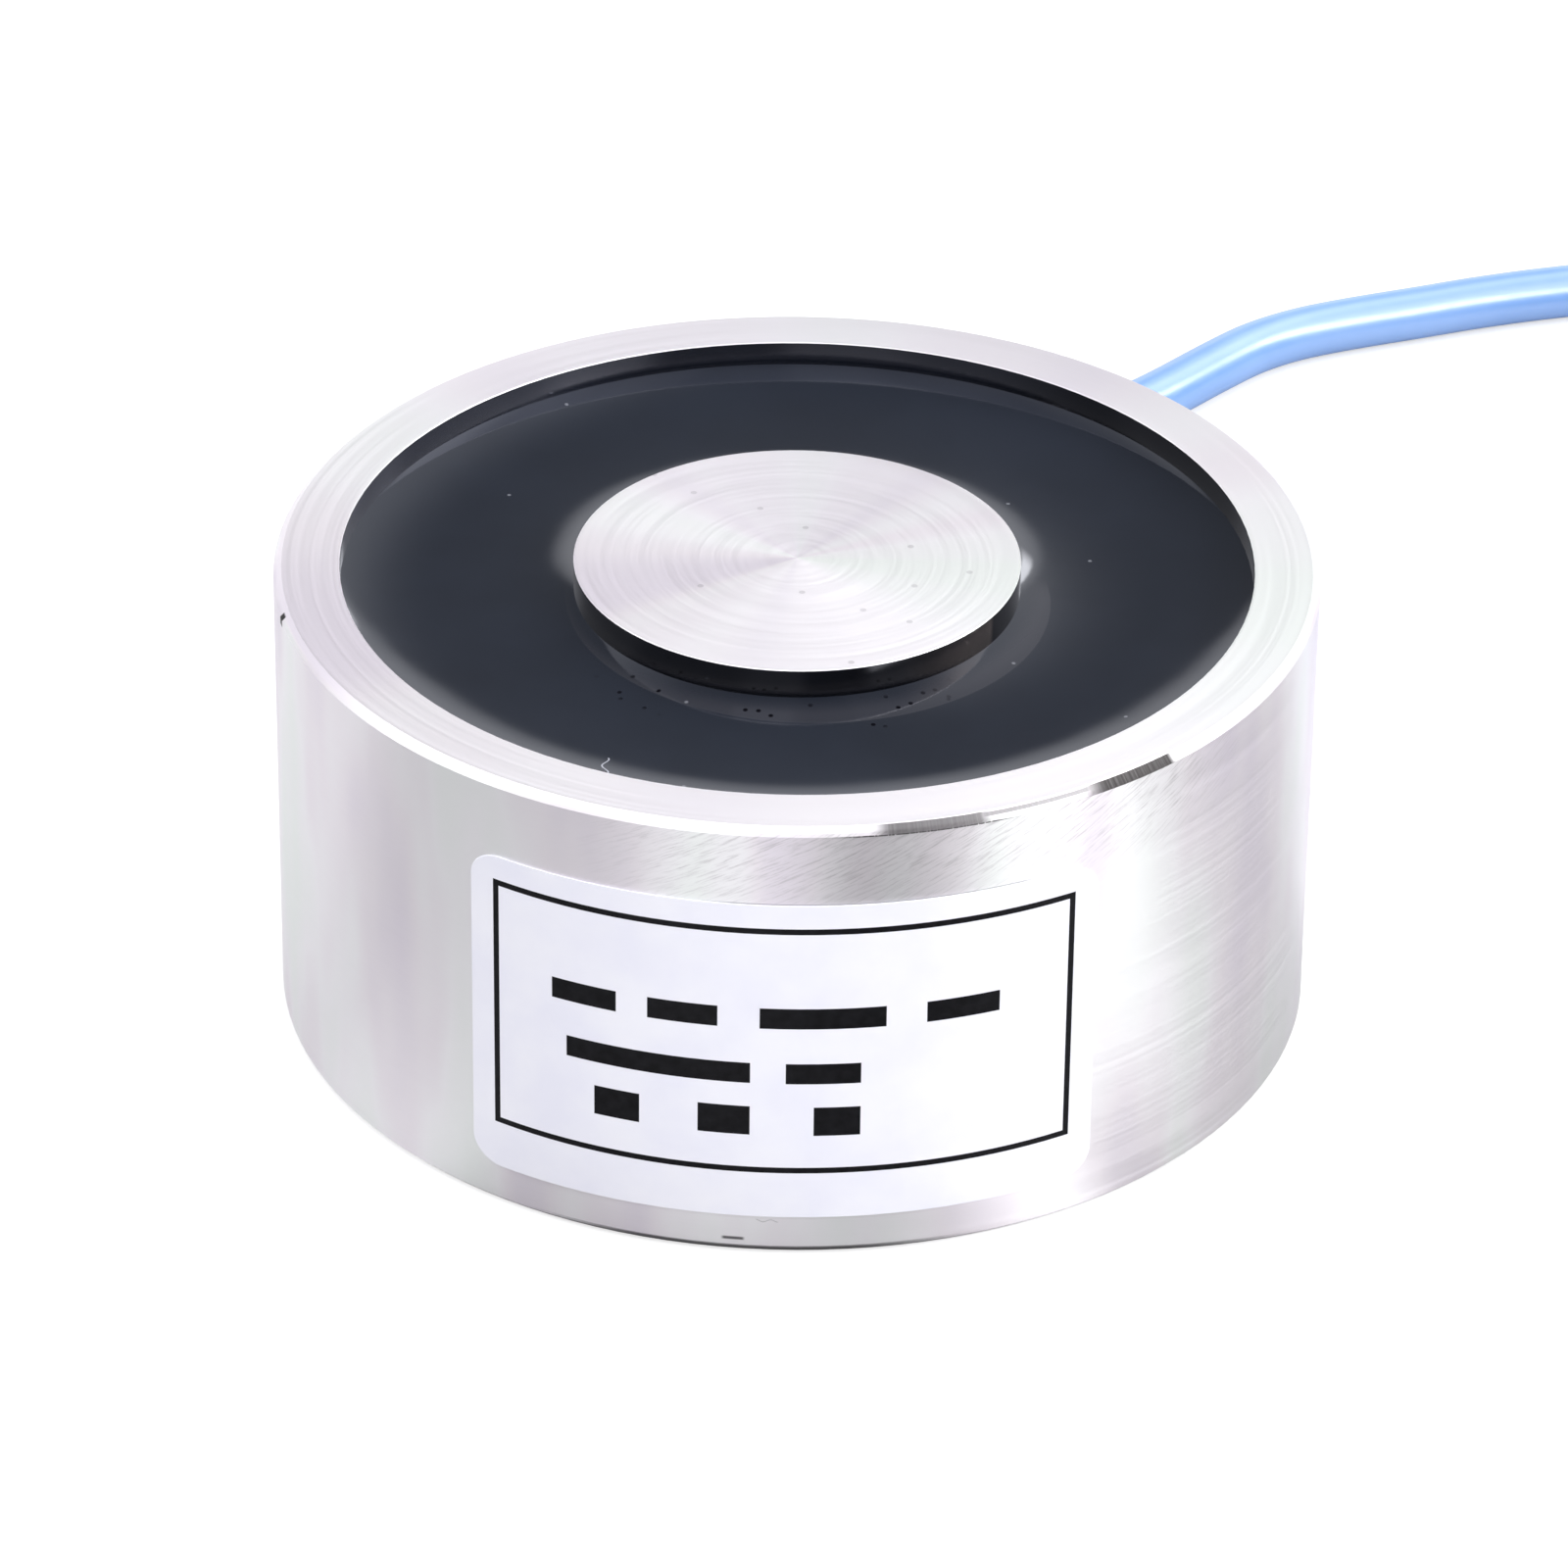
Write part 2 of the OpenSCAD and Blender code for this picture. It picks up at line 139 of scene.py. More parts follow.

# Small dark marks on the shell, two of them painted shadow: an angle, a height and a shade
RIM_CHIP = ((-1.346, -1.332, 0.004), (0.0291, 0.0297, 0.0001), 1.0)
FOOT_DENT = ((-0.122, -0.090, 0.008), (0.0009, 0.0010, 0.0001), 0.85)
# Painted shadow: a dark line along the front of the foot, where it meets the floor
FOOT_PAINTED_SHADOW = ((-0.25, 0.10, 0.30), (-0.001, 0.00042, 0.00013), 0.85)
# Painted shadow: a thin dark line on the shell just over the label's top edge
LABEL_EDGE_PAINTED_SHADOW = ((-0.10, 0.42, 0.08), (0.0248, 0.02486, 0.00003), 0.45)
SCRATCH = ((-0.060, -0.025, 0.005), (0.0023, 0.00233, 0.00004), 0.3)

# The label, with angles from the front and to the right
LABEL_R = SHELL_R + 0.00012
BORDER_W = 0.0004
INK_EDGE = 0.00003
BORDER_LEFT, BORDER_RIGHT = math.radians(-33.4), math.radians(31.0)
BORDER_LOW, BORDER_TOP = 0.0059, 0.0232
PRINT_ROWS = [
    (0.0162, 0.0176, [(-26.2, -18.9), (-15.4, -7.9), (-3.4, 9.9), (14.3, 22.3)]),
    (0.0123, 0.0137, [(-24.5, -4.4), (-0.6, 7.3)]),
    (0.0086, 0.0106, [(-21.3, -16.3), (-9.9, -4.4), (2.4, 7.3)]),
]

# The lead
LEAD_R = 0.0019
LEAD_Z = 0.0086
LEAD_AZIMUTH = math.radians(80)
JACKET_IN_R = 0.028
COIL_CENTRE = Vector((0.083, 0.070, 0.0))
COIL_Z = 0.0025
OUTER_TURN_R, INNER_TURN_R = 0.0225, 0.0185
FULL_TURN_DEG, STEP_IN_DEG, JACKET_END_DEG = 270, 80, 524
COIL_STEP_DEG = 6
END_WIRE_R = 0.00065
END_WIRE_HALF_PITCH = 0.000725
END_LIE_Z = 0.00065
END_CLOSE_IN = 0.0045
END_EASE_DEG, END_START_DEG, END_STOP_DEG, TIP_STOP_DEG = 62, 0.82, 70.5, 95.0
TIP_R = 0.00045
STRAND_R = 0.00015
STRANDS_ROUND, STRAND_TWIST_DEG, STRAND_TUCK_DEG = 6, 16, 2.0
TIE_Y = (0.0685, 0.0715)
TIE_ROOM_W, TIE_ROOM_H, TIE_T = 0.008, 0.004, 0.00049
TIE_TWIST_Z, TIE_TWIST_R, TIE_TWIST_END = 0.00535, 0.00072, 0.0625
TIE_TWISTS = 3.5

# The tie's section: shares of its width and of its thickness
TIE_SECTION = ((0, 0), (1, 0), (1, 0.6), (0.75, 0.8), (0.55, 1), (0.45, 1), (0.25, 0.8), (0, 0.6))


def on_lead_axis(radius):
    """A point on the axis of the lead hole."""
    return Vector((radius * math.cos(LEAD_AZIMUTH), radius * math.sin(LEAD_AZIMUTH), LEAD_Z))


LEAD_EXIT = on_lead_axis(SHELL_R)
LEAD_ROUTE = [
    on_lead_axis(JACKET_IN_R),
    LEAD_EXIT,
    on_lead_axis(0.0375),
    Vector((0.0078, 0.0435, 0.0076)),
    Vector((0.0095, 0.0495, 0.0056)),
    Vector((0.0118, 0.0552, 0.0036)),
    Vector((0.0147, 0.0606, 0.0023)),
    Vector((0.0182, 0.0654, 0.0019)),
    Vector((0.0222, 0.0699, 0.0019)),
    Vector((0.0262, 0.0740, 0.0019)),
    Vector((0.0300, 0.0782, 0.0019)),
    Vector((0.0330, 0.0812, 0.0019)),
    Vector((0.0362, 0.08335, 0.0019)),
    Vector((0.0400, 0.08505, 0.0019)),
    Vector((0.0450, 0.0869, 0.0019)),
    Vector((0.0500, 0.08875, 0.0019)),
    Vector((0.0555, 0.0904, 0.0019)),
    Vector((0.0620, 0.0918, 0.0020)),
    Vector((0.0690, 0.0924, 0.0023)),
    Vector((0.0760, 0.0925, 0.0025)),
    Vector((0.0830, 0.0925, 0.0025)),
]


# Shader helpers
def add(tree, kind, inputs=None, **settings):
    """A shader node with its settings, whose inputs take a value or another node's output."""
    node = tree.nodes.new("ShaderNode" + kind)
    for key, value in settings.items():
        setattr(node, key, value)
    for key, value in (inputs or {}).items():
        if isinstance(value, bpy.types.NodeSocket):
            tree.links.new(value, node.inputs[key])
        else:
            node.inputs[key].default_value = value
    return node


def calc(tree, operation, *values):
    node = add(tree, "Math", dict(enumerate(values)), operation=operation)
    return node.outputs[0]


def remap(tree, value, low, high, to_low=0.0, to_high=1.0):
    """value from low..high to to_low..to_high, eased and held at both ends."""
    inputs = {"Value": value, "From Min": low, "From Max": high, "To Min": to_low, "To Max": to_high}
    return add(tree, "MapRange", inputs, interpolation_type="SMOOTHSTEP").outputs["Result"]


def band(tree, value, low, high, soft):
    """1 where value is between low and high, falling to 0 over soft."""
    rise = remap(tree, value, low - soft, low)
    fall = remap(tree, value, high, high + soft, 1.0, 0.0)
    return calc(tree, "MULTIPLY", rise, fall)


def overlap(tree, *masks):
    """The masks multiplied together."""
    product = masks[0]
    for mask in masks[1:]:
        product = calc(tree, "MULTIPLY", product, mask)
    return product


def blend(tree, share, first, second):
    node = add(tree, "Mix", {0: share, 6: first, 7: second}, data_type="RGBA")
    return node.outputs[2]


def blend_value(tree, share, first, second):
    return add(tree, "Mix", {0: share, 2: first, 3: second}).outputs[0]


def stretched(tree, x, y, z=0.0):
    return add(tree, "CombineXYZ", {"X": x, "Y": y, "Z": z}).outputs[0]


def noise(tree, vector, scale=1.0, detail=2.0, roughness=0.5):
    inputs = {"Vector": vector, "Scale": scale, "Detail": detail, "Roughness": roughness}
    return add(tree, "TexNoise", inputs).outputs["Fac"]


def ramp(tree, value, *stops):
    node = add(tree, "ValToRGB", {"Fac": value})
    elements = node.color_ramp.elements
    while len(elements) < len(stops):
        elements.new(0.5)
    for element, (position, color) in zip(elements, stops):
        element.position = position
        element.color = (*color, 1.0)
    return node.outputs["Color"]


def bump(tree, height, distance, strength=1.0, normal=None):
    inputs = {"Height": height, "Distance": distance, "Strength": strength}
    if normal:
        inputs["Normal"] = normal
    return add(tree, "Bump", inputs).outputs["Normal"]


def object_place(tree):
    return add(tree, "TexCoord").outputs["Object"]


def round_place(tree):
    """Radius, angle from the front to the right, and height of a point about the magnet's axis."""
    x, y, z = add(tree, "SeparateXYZ", {"Vector": object_place(tree)}).outputs
    flat = stretched(tree, x, y)
    radius = add(tree, "VectorMath", {0: flat}, operation="LENGTH").outputs["Value"]
    angle = calc(tree, "ARCTAN2", x, calc(tree, "MULTIPLY", y, -1.0))
    return radius, angle, z


def round_grain(tree, around, across):
    """A place for noise with around steps round the axis and across steps per metre over the rings."""
    x, y, z = add(tree, "SeparateXYZ", {"Vector": object_place(tree)}).outputs
    flat = stretched(tree, x, y)
    radius = add(tree, "VectorMath", {0: flat}, operation="LENGTH").outputs["Value"]
    outward = add(tree, "VectorMath", {0: flat}, operation="NORMALIZE").outputs["Vector"]
    turned = add(tree, "VectorMath", {0: outward, "Scale": around}, operation="SCALE").outputs["Vector"]
    rise = calc(tree, "MULTIPLY", calc(tree, "ADD", radius, z), across)
    lifted = stretched(tree, 0.0, 0.0, rise)
    return add(tree, "VectorMath", {0: turned, 1: lifted}, operation="ADD").outputs["Vector"]


def toward(tree, way, azimuth, outer, inner):
    """1 within inner degrees of an azimuth, counted from the camera's side, falling to 0 at outer degrees."""
    side = math.radians(azimuth)
    x, y = add(tree, "SeparateXYZ", {"Vector": way}).outputs[:2]
    level = add(tree, "VectorMath", {0: stretched(tree, x, y)}, operation="NORMALIZE").outputs["Vector"]
    aim = (math.sin(side), -math.cos(side), 0.0)
    facing = add(tree, "VectorMath", {0: level, 1: aim}, operation="DOT_PRODUCT").outputs["Value"]
    return remap(tree, facing, math.cos(math.radians(outer)), math.cos(math.radians(inner)))


def rest(tree, share):
    """What is left of 1 beside the share."""
    return calc(tree, "SUBTRACT", 1.0, share)


def new_material(name):
    material = bpy.data.materials.new(name)
    material.use_nodes = True
    tree = material.node_tree
    tree.nodes.clear()
    return material, tree


def finish_material(tree, inputs):
    shader = add(tree, "BsdfPrincipled", inputs)
    add(tree, "OutputMaterial", {"Surface": shader.outputs[0]})


# Finishes
def turned_nickel(name, marks):
    """Bright nickel over turned steel: lathe rings, pastel blotches of plating tint that partly stand in as
    painted reflection, painted shade at the back of the faces, painted light at their front, and the piece's
    own marks.
    """
    material, tree = new_material(name)
    rings = noise(tree, round_grain(tree, RINGS_AROUND, RINGS_ACROSS), detail=3.0)
    side = remap(tree, round_place(tree)[0], SHELL_R - 0.0003, SHELL_R - 0.0001)
    # Pastel plating tint; the streaks on the side and the fans on the faces also stand in as painted reflection
    streaked = add(tree, "VectorMath", {0: object_place(tree), 1: (130.0, 130.0, 35.0)}, operation="MULTIPLY")
    streaks = noise(tree, streaked.outputs["Vector"])
    fans = noise(tree, round_grain(tree, 1.5, 0.0), detail=1.0)
    blotches_and_painted_reflection = blend_value(tree, side, fans, streaks)
    tint = ramp(
        tree,
        blotches_and_painted_reflection,
        (0.30, (0.80, 0.75, 0.82)),
        (0.45, (0.89, 0.85, 0.88)),
        (0.55, (0.92, 0.91, 0.92)),
        (0.70, (0.88, 0.91, 0.88)),
    )
    face = rest(tree, side)
    # Painted shade and light: the pole faces are tinted darker towards the back and lighter towards the front
    painted_shade_back = overlap(tree, toward(tree, object_place(tree), *FACE_PAINTED_SHADE_BACK), face, 0.5)
    painted_light_front = overlap(tree, toward(tree, object_place(tree), *FACE_PAINTED_LIGHT_FRONT), face, 0.7)
    tint = blend(tree, painted_shade_back, tint, (0.74, 0.72, 0.76, 1.0))
    tint = blend(tree, painted_light_front, tint, (0.98, 0.96, 0.98, 1.0))
    tint, plain = marks(tree, tint)
    turned = rest(tree, plain)
    ring_strength = calc(tree, "MULTIPLY", turned, remap(tree, side, 0.0, 1.0, 0.2, 1.0))
    inputs = {
        "Base Color": tint,
        "Metallic": 1.0,
        "Roughness": blend_value(tree, plain, remap(tree, rings, 0.3, 0.7, 0.42, 0.48), PLAIN_WALL_ROUGHNESS),
        "Anisotropic": calc(tree, "MULTIPLY", turned, remap(tree, side, 0.0, 1.0, 0.4, 0.8)),
        "Anisotropic Rotation": 0.25,
        "Tangent": add(tree, "Tangent", direction_type="RADIAL", axis="Z").outputs[0],
        "Normal": bump(tree, rings, RING_DEPTH, strength=ring_strength),
    }
    finish_material(tree, inputs)
    return material


def brushed_strip_and_painted_shade(tree, tint, radius, angle, height):
    """Fine slanted scratches on the side, just under the rim, painted dark grey: real scratches, and painted
    shade on the strip.
    """
    along = calc(tree, "MULTIPLY", angle, SHELL_R)
    slant = calc(tree, "ADD", along, calc(tree, "MULTIPLY", height, BRUSHED_SLANT))
    lean = calc(tree, "SUBTRACT", height, calc(tree, "MULTIPLY", along, BRUSHED_SLANT))
    lengthwise = calc(tree, "MULTIPLY", slant, BRUSHED_ALONG)
    grain = stretched(tree, lengthwise, calc(tree, "MULTIPLY", lean, BRUSHED_ACROSS))
    scratches = remap(tree, noise(tree, grain, detail=4.0, roughness=0.65), 0.45, 0.70)
    side = remap(tree, radius, SHELL_R - 0.0002, SHELL_R - 0.0001)
    strip = overlap(tree, side, band(tree, angle, *BRUSHED_ANGLE), remap(tree, height, *BRUSHED_RISE))
    # The scratches' dark grey is partly their own colour and partly painted shade
    return blend(tree, overlap(tree, strip, scratches, 0.5), tint, (0.42, 0.40, 0.41, 1.0))


def worn_edge(tree, tint, radius, angle, height):
    """The rim's outer chamfer, rubbed dark in two stretches joined by a thin line, with a line below."""
    chamfer = overlap(
        tree,
        remap(tree, radius, SHELL_R - RIM_CHAMFER, SHELL_R - RIM_CHAMFER + 0.00005),
        remap(tree, height, CHAMFER_FOOT - 0.00005, CHAMFER_FOOT),
    )
    around = stretched(tree, calc(tree, "MULTIPLY", angle, 160.0), 0.0)
    chatter = noise(tree, around, detail=4.0, roughness=0.7)
    grey_rub = calc(tree, "MULTIPLY", band(tree, angle, *GREY_RUB), GREY_RUB_SHADE)
    black_rub = band(tree, angle, *BLACK_RUB)
    thin_rub = overlap(tree, band(tree, angle, *THIN_RUB), band(tree, height, *THIN_RUB_Z), THIN_RUB_SHADE)
    rubs = calc(tree, "MAXIMUM", thin_rub, calc(tree, "MAXIMUM", grey_rub, black_rub))
    rub = overlap(tree, chamfer, rubs, remap(tree, chatter, 0.3, 0.6, 0.92, 1.0))
    rub = calc(tree, "MULTIPLY", rub, remap(tree, angle, *RUB_STOP, 1.0, 0.0))
    line = overlap(
        tree,
        remap(tree, radius, SHELL_R - 0.0001, SHELL_R - 0.00005),
        band(tree, height, *CHAMFER_LINE_Z),
        band(tree, angle, *CHAMFER_LINE),
        remap(tree, chatter, 0.35, 0.5),
    )
    marks = calc(tree, "MAXIMUM", rub, calc(tree, "MULTIPLY", line, CHAMFER_LINE_SHADE))
    return blend(tree, marks, tint, (0.045, 0.042, 0.042, 1.0))


def small_mark(tree, angle, height, mark):
    """How dark a small mark is at an angle and a height."""
    around, up, shade = mark
    return overlap(tree, band(tree, angle, *around), band(tree, height, *up), shade)


def nicks_and_painted_shadows(tree, tint, angle, height):
    """A chip at the rim's left, a dent at the foot, a painted contact shadow along the foot, a painted shadow
    line over the label, a scratch under it.
    """
    waves = calc(tree, "SINE", calc(tree, "MULTIPLY", angle, SCRATCH_WAVES))
    swayed = calc(tree, "ADD", height, calc(tree, "MULTIPLY", waves, SCRATCH_SWAY))
    marks = small_mark(tree, angle, swayed, SCRATCH)
    for mark in (RIM_CHIP, FOOT_DENT, FOOT_PAINTED_SHADOW, LABEL_EDGE_PAINTED_SHADOW):
        marks = calc(tree, "MAXIMUM", marks, small_mark(tree, angle, height, mark))
    return blend(tree, marks, tint, (0.03, 0.028, 0.03, 1.0))


def below_face(tree, height):
    """1 between the pot's floor and the pole face, where the walls are painted dark, partly as a film of resin
    and partly as painted shade.
    """
    return band(tree, height, POT_FLOOR_Z, SHELL_H - 0.0001, 0.00005)


def shell_marks(tree, tint):
    """The shell's tint with its marks, and where its pocket's plain wall is, painted dark with a lighter
    painted reflection and a darker painted shade.
    """
    radius, angle, height = round_place(tree)
    tint = brushed_strip_and_painted_shade(tree, tint, radius, angle, height)
    tint = worn_edge(tree, tint, radius, angle, height)
    tint = nicks_and_painted_shadows(tree, tint, angle, height)
    inside = remap(tree, radius, POCKET_R + 0.0001, POCKET_R + 0.0002, 1.0, 0.0)
    wall = overlap(tree, inside, below_face(tree, height))
    # The pocket's wall: painted shade over a film of resin, lighter with painted reflection at the back left,
    # darker with painted shade at the back right
    dark = blend(tree, band(tree, angle, *WALL_PAINTED_LIGHT_ANGLE), WETTED_WALL_PAINTED_SHADE, WALL_PAINTED_LIGHT)
    dark = blend(tree, band(tree, angle, *WALL_PAINTED_DARK_ANGLE), dark, WETTED_WALL_PAINTED_DARK)
    return blend(tree, wall, tint, dark), wall


def core_marks(tree, tint):
    """The core's tint with tiny nicks on the pole face, and where its plain wall is, painted nearly black,
    partly for a film of resin and partly as painted shade, with a brown painted reflection.
    """
    radius, angle, height = round_place(tree)
    wall = overlap(tree, below_face(tree, height), remap(tree, radius, SPIGOT_R, CORE_R))
    specks = calc(tree, "MULTIPLY", scattered(tree, *SPECKS), 0.3)
    tint = blend(tree, specks, tint, (0.30, 0.28, 0.30, 1.0))
    # Painted reflection: a brown stretch on the core's dark wall at the right front
    painted_brown_reflection = overlap(tree, remap(tree, angle, *PAINTED_REFLECTION_RISE), remap(tree, angle, *PAINTED_REFLECTION_FALL, 1.0, 0.0))
    dark = blend(tree, painted_brown_reflection, WETTED_WALL_PAINTED_DARK, (0.55, 0.47, 0.42, 1.0))
    return blend(tree, wall, tint, dark), wall


def scattered(tree, scale, size, share):
    """Small round spots in a share of the cells of that scale."""
    cells = add(tree, "TexVoronoi", {"Vector": object_place(tree), "Scale": scale}, voronoi_dimensions="2D")
    pick = calc(tree, "LESS_THAN", add(tree, "SeparateColor", {0: cells.outputs["Color"]}).outputs[0], share)
    return calc(tree, "MULTIPLY", pick, remap(tree, cells.outputs["Distance"], size, 1.4 * size, 1.0, 0.0))


def lint_hair(tree):
    """A short, bent hair caught at the front left of the resin's rim."""
    x, y = add(tree, "SeparateXYZ", {"Vector": object_place(tree)}).outputs[:2]
    sway = calc(tree, "MULTIPLY", calc(tree, "SINE", calc(tree, "MULTIPLY", y, HAIR_WAVES)), HAIR_SWAY)
    aside = calc(tree, "SUBTRACT", calc(tree, "SUBTRACT", x, HAIR_X), sway)
    across = band(tree, aside, -HAIR_HALF_W, HAIR_HALF_W, HAIR_HALF_W)
    return overlap(tree, across, band(tree, y, *HAIR_Y))


def cast_resin():
    """Glossy blue-black potting resin, a little wavy, greyer and pitted in front of the core, with dust."""
    material, tree = new_material("cast_resin")
    radius, angle = round_place(tree)[:2]
    place = object_place(tree)
    waves = noise(tree, place, scale=120.0, detail=1.0)
    haze = noise(tree, place, scale=60.0, detail=4.0)
    pitted = overlap(tree, band(tree, radius, *PITTED_R), band(tree, angle, *PITTED_ANGLE))
    pits = calc(tree, "MULTIPLY", scattered(tree, *PITS), pitted)
    dust = scattered(tree, *DUST)
    off_centre = add(tree, "VectorMath", {0: place, 1: COLLAR_CENTRE}, operation="DISTANCE").outputs["Value"]
    collar = overlap(
        tree,
        remap(tree, off_centre, COLLAR_R, COLLAR_R + 0.00006, 1.0, 0.0),
        remap(tree, radius, CORE_R, CORE_R + 0.0016),
        band(tree, angle, *COLLAR_ANGLE),
    )
    color = ramp(tree, haze, (0.35, (0.0075, 0.0100, 0.0165)), (0.65, (0.0110, 0.0145, 0.0235)))
    color = blend(tree, collar, color, (0.024, 0.0255, 0.033, 1.0))
    color = blend(tree, calc(tree, "MULTIPLY", dust, 0.5), color, (0.25, 0.26, 0.29, 1.0))
    color = blend(tree, pits, color, (0.004, 0.004, 0.006, 1.0))
    color = blend(tree, lint_hair(tree), color, (0.34, 0.35, 0.40, 1.0))
    inputs = {
        "Base Color": color,
        "Roughness": remap(tree, haze, 0.3, 0.7, 0.04, 0.08),
        "IOR": 1.5,
        "Specular IOR Level": remap(tree, pits, 0.0, 1.0, 0.5, 0.0),
        "Specular Tint": (0.86, 0.90, 1.0, 1.0),
        "Normal": bump(tree, waves, 0.00002),
    }
    finish_material(tree, inputs)
    return material


def printed(tree, angle, height, left, right, low, top):
    """1 inside a block between two angles and two heights on the label."""
    across = band(tree, angle, left, right, INK_EDGE / LABEL_R)
    return calc(tree, "MULTIPLY", across, band(tree, height, low, top, INK_EDGE))


def label_print(tree):
    """The label's border, and plain bars where its printed rows are."""
    angle, height = round_place(tree)[1:]
    thin = BORDER_W / LABEL_R
    outer = (BORDER_LEFT, BORDER_RIGHT, BORDER_LOW, BORDER_TOP)
    inner = (BORDER_LEFT + thin, BORDER_RIGHT - thin, BORDER_LOW + BORDER_W, BORDER_TOP - BORDER_W)
    ink = calc(tree, "SUBTRACT", printed(tree, angle, height, *outer), printed(tree, angle, height, *inner))
    for low, top, words in PRINT_ROWS:
        for left, right in words:
            bar = printed(tree, angle, height, math.radians(left), math.radians(right), low, top)
            ink = calc(tree, "MAXIMUM", ink, bar)
    return ink


def label_film():
    """Pale lavender film with a faint pearl grain, printed in slightly uneven black."""
    material, tree = new_material("label_film")
    place = object_place(tree)
    pearl = noise(tree, place, scale=220.0, detail=3.0)
    grain = noise(tree, place, scale=6000.0, detail=2.0)
    cover = noise(tree, place, scale=1500.0, detail=3.0)
    film = ramp(tree, pearl, (0.35, (0.88, 0.88, 0.97)), (0.65, (0.93, 0.93, 0.99)))
    ink = ramp(tree, cover, (0.35, (0.003, 0.003, 0.004)), (0.75, (0.008, 0.008, 0.010)))
    printed_on = label_print(tree)
    inputs = {
        "Base Color": blend(tree, printed_on, film, ink),
        "Roughness": remap(tree, grain, 0.3, 0.7, 0.34, 0.46),
        "Specular IOR Level": remap(tree, printed_on, 0.0, 1.0, 0.5, 0.12),
        "Normal": bump(tree, grain, 0.000003),
    }
    finish_material(tree, inputs)
    return material


def plastic(name, dark, light, low_gloss, high_gloss, ior=1.5, shine=0.5, grain_depth=0.000006):
    """A moulded or extruded plastic between two shades, with a fine grain."""
    material, tree = new_material(name)
    place = object_place(tree)
    mottle = noise(tree, place, scale=160.0, detail=3.0)
    grain = noise(tree, place, scale=900.0, detail=2.0)
    inputs = {
        "Base Color": ramp(tree, mottle, (0.35, dark), (0.65, light)),
        "Roughness": remap(tree, grain, 0.3, 0.7, low_gloss, high_gloss),
        "IOR": ior,
        "Specular IOR Level": shine,
        "Normal": bump(tree, grain, grain_depth),
    }
    finish_material(tree, inputs)
    return material


def metal(name, dark, light, low_gloss, high_gloss, grain_scale=2500.0):
    """A bare or enamelled metal between two shades."""
    material, tree = new_material(name)
    grain = noise(tree, object_place(tree), scale=grain_scale, detail=3.0)
    inputs = {
        "Base Color": ramp(tree, grain, (0.35, dark), (0.65, light)),
        "Metallic": 1.0,
        "Roughness": remap(tree, grain, 0.3, 0.7, low_gloss, high_gloss),
        "Normal": bump(tree, grain, 0.000004),
    }
    finish_material(tree, inputs)
    return material


# Shape helpers
def link(piece, material):
    bpy.context.scene.collection.objects.link(piece)
    piece.data.materials.append(material)
    return piece


def tube(name, lines, radius, material, sides=6):
    """A round tube along each of the given lines of points."""
    curve = bpy.data.curves.new(name, "CURVE")
    curve.dimensions = "3D"
    curve.bevel_depth = radius
    curve.bevel_resolution = sides
    curve.use_fill_caps = True
    for line in lines:
        spline = curve.splines.new("POLY")
        spline.points.add(len(line) - 1)
        for point, place in zip(spline.points, line):
            point.co = (*place, 1.0)
    return link(bpy.data.objects.new(name, curve), material)


def solid(name, corners, faces, material, smooth=True):
    mesh = bpy.data.meshes.new(name)
    mesh.from_pydata(corners, [], faces)
    mesh.validate()
    mesh.polygons.foreach_set("use_smooth", [smooth] * len(mesh.polygons))
    return link(bpy.data.objects.new(name, mesh), material)


def sweep(name, rings, material, closed=False, smooth=True):
    """A skin over rings of equally many points, with flat ends unless it closes on itself."""
    count = len(rings[0])
    corners = [corner for ring in rings for corner in ring]
    faces = []
    for step in range(len(rings) if closed else len(rings) - 1):
        here = step * count
        there = (step + 1) % len(rings) * count
        for side in range(count):
            after = (side + 1) % count
            faces.append((here + side, here + after, there + after, there + side))
    if not closed:
        faces.append(tuple(reversed(range(count))))
        faces.append(tuple(range(len(corners) - count, len(corners))))
    return solid(name, corners, faces, material, smooth)


def smoothstep(share):
    share = min(max(share, 0.0), 1.0)
    return share * share * (3.0 - 2.0 * share)


def through(points, steps=6):
    """A smooth line through the points, with steps parts between each two."""
    padded = [2 * points[0] - points[1], *points, 2 * points[-1] - points[-2]]
    line = []
    for a, b, c, d in zip(padded, padded[1:], padded[2:], padded[3:]):
        for step in range(steps):
            t = step / steps
            bend = 2 * a - 5 * b + 4 * c - d
            twist = 3 * b - a - 3 * c + d
            line.append(0.5 * (2 * b + (c - a) * t + bend * t**2 + twist * t**3))
    return [*line, points[-1]]


def about_coil(radius, degrees, height):
    angle = math.radians(degrees)
    return COIL_CENTRE + Vector((radius * math.cos(angle), radius * math.sin(angle), height))


def dress(piece, slot, *nodes):
    """The piece rides on the magnet and stands for the nodes, which are hidden. The slot is not used."""
    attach(piece, "root")
    if nodes:
        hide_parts(*nodes)
    return piece


# The lead and what is on it
def coil_turns():
    """The coil: one and a half turns, the second lying inside the first."""
    line = []
    for turned in range(COIL_STEP_DEG, JACKET_END_DEG + 1, COIL_STEP_DEG):
        ease = smoothstep((turned - FULL_TURN_DEG) / STEP_IN_DEG)
        radius = OUTER_TURN_R + (INNER_TURN_R - OUTER_TURN_R) * ease
        line.append(about_coil(radius, 90 - turned, COIL_Z))
    line.append(about_coil(INNER_TURN_R, 90 - JACKET_END_DEG, COIL_Z))
    return line


def lead_jacket(material):
    line = [*through(LEAD_ROUTE), *coil_turns()]
    for place in line:
        place.z = max(place.z, LEAD_R)
    piece = tube("lead_jacket", [line], LEAD_R, material, sides=8)
    return dress(piece, "lead_jacket", "lead_run", "lead_coil")


